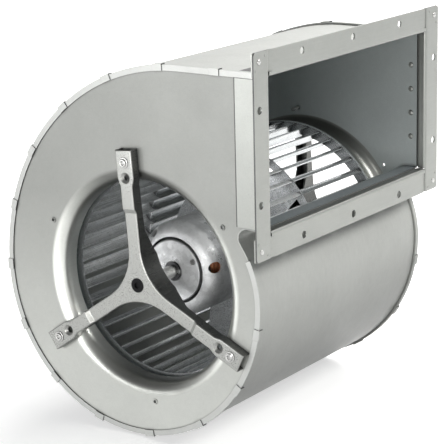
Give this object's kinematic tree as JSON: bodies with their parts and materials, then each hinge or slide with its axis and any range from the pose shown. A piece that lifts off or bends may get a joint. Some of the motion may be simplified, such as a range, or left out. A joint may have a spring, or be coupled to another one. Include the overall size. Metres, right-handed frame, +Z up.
{
  "type": "centrifugal fan",
  "caption": "Double-inlet centrifugal fan in a galvanised scroll housing, with three-armed motor brackets at both inlets and a rectangular outlet flange.",
  "frame": {"origin": "middle of the outlet flange's front face", "axes": "+X out of the outlet, +Z up, fan axis along Y, the near inlet towards -Y"},
  "size_m": [0.3015, 0.3174, 0.3713],
  "materials": {
    "galvanised_sheet": "satin hot-dip zinc coating with faint rolling marks",
    "galvanised_wrap": "satin hot-dip zinc coating, rolled round the scroll",
    "galvanised_angle": "satin zinc coating with bright bends",
    "bracket_steel": "pressed zinc-plated steel, satin",
    "zinc_fasteners": "bright zinc plating",
    "black_rubber": "matt moulded rubber",
    "ground_steel": "ground and polished",
    "spring_steel": "dark oiled spring steel",
    "lamination_steel": "stacked sheet edges, oiled",
    "copper_wire": "lacquered copper wire",
    "cast_aluminium": "grainy die casting, matt",
    "wheel_steel": "zinc-coated sheet, darker inside the housing"
  },
  "bodies": {
    "housing": {"scroll_wrap": "galvanised_wrap", "near_side_plate": "galvanised_sheet", "far_side_plate": "galvanised_sheet", "near_flange_angle": "galvanised_angle", "far_flange_angle": "galvanised_angle", "top_flange_angle": "galvanised_angle", "bottom_flange_angle": "galvanised_angle", "corner_rivets": "zinc_fasteners", "leg_rivets": "zinc_fasteners", "near_bracket": "bracket_steel", "far_bracket": "bracket_steel", "near_bracket_screws": "zinc_fasteners", "far_bracket_screws": "zinc_fasteners", "near_bush": "black_rubber", "far_bush": "black_rubber", "axle": "ground_steel", "axle_clips": "spring_steel", "bearing_inner_rings": "ground_steel", "bearing_spacer": "ground_steel", "stator_sleeve": "ground_steel", "stator_core": "lamination_steel", "stator_windings": "copper_wire", "stator_end_plate": "cast_aluminium", "end_plate_pegs": "zinc_fasteners"},
    "wheel": {"bearing_outer_rings": "ground_steel", "bearing_balls": "ground_steel", "rotor_dome": "cast_aluminium", "rotor_cup": "cast_aluminium", "rotor_cage": "lamination_steel", "wheel_disc": "wheel_steel", "hub_screws": "zinc_fasteners", "near_blades": "wheel_steel", "far_blades": "wheel_steel", "near_end_ring": "wheel_steel", "far_end_ring": "wheel_steel"}
  },
  "joints": [
    {"name": "wheel_spin", "type": "hinge", "parent": "housing", "child": "wheel", "pos_m": [-0.1397, 0, -0.13395], "axis": [0, 1, 0], "continuous": true}
  ]
}
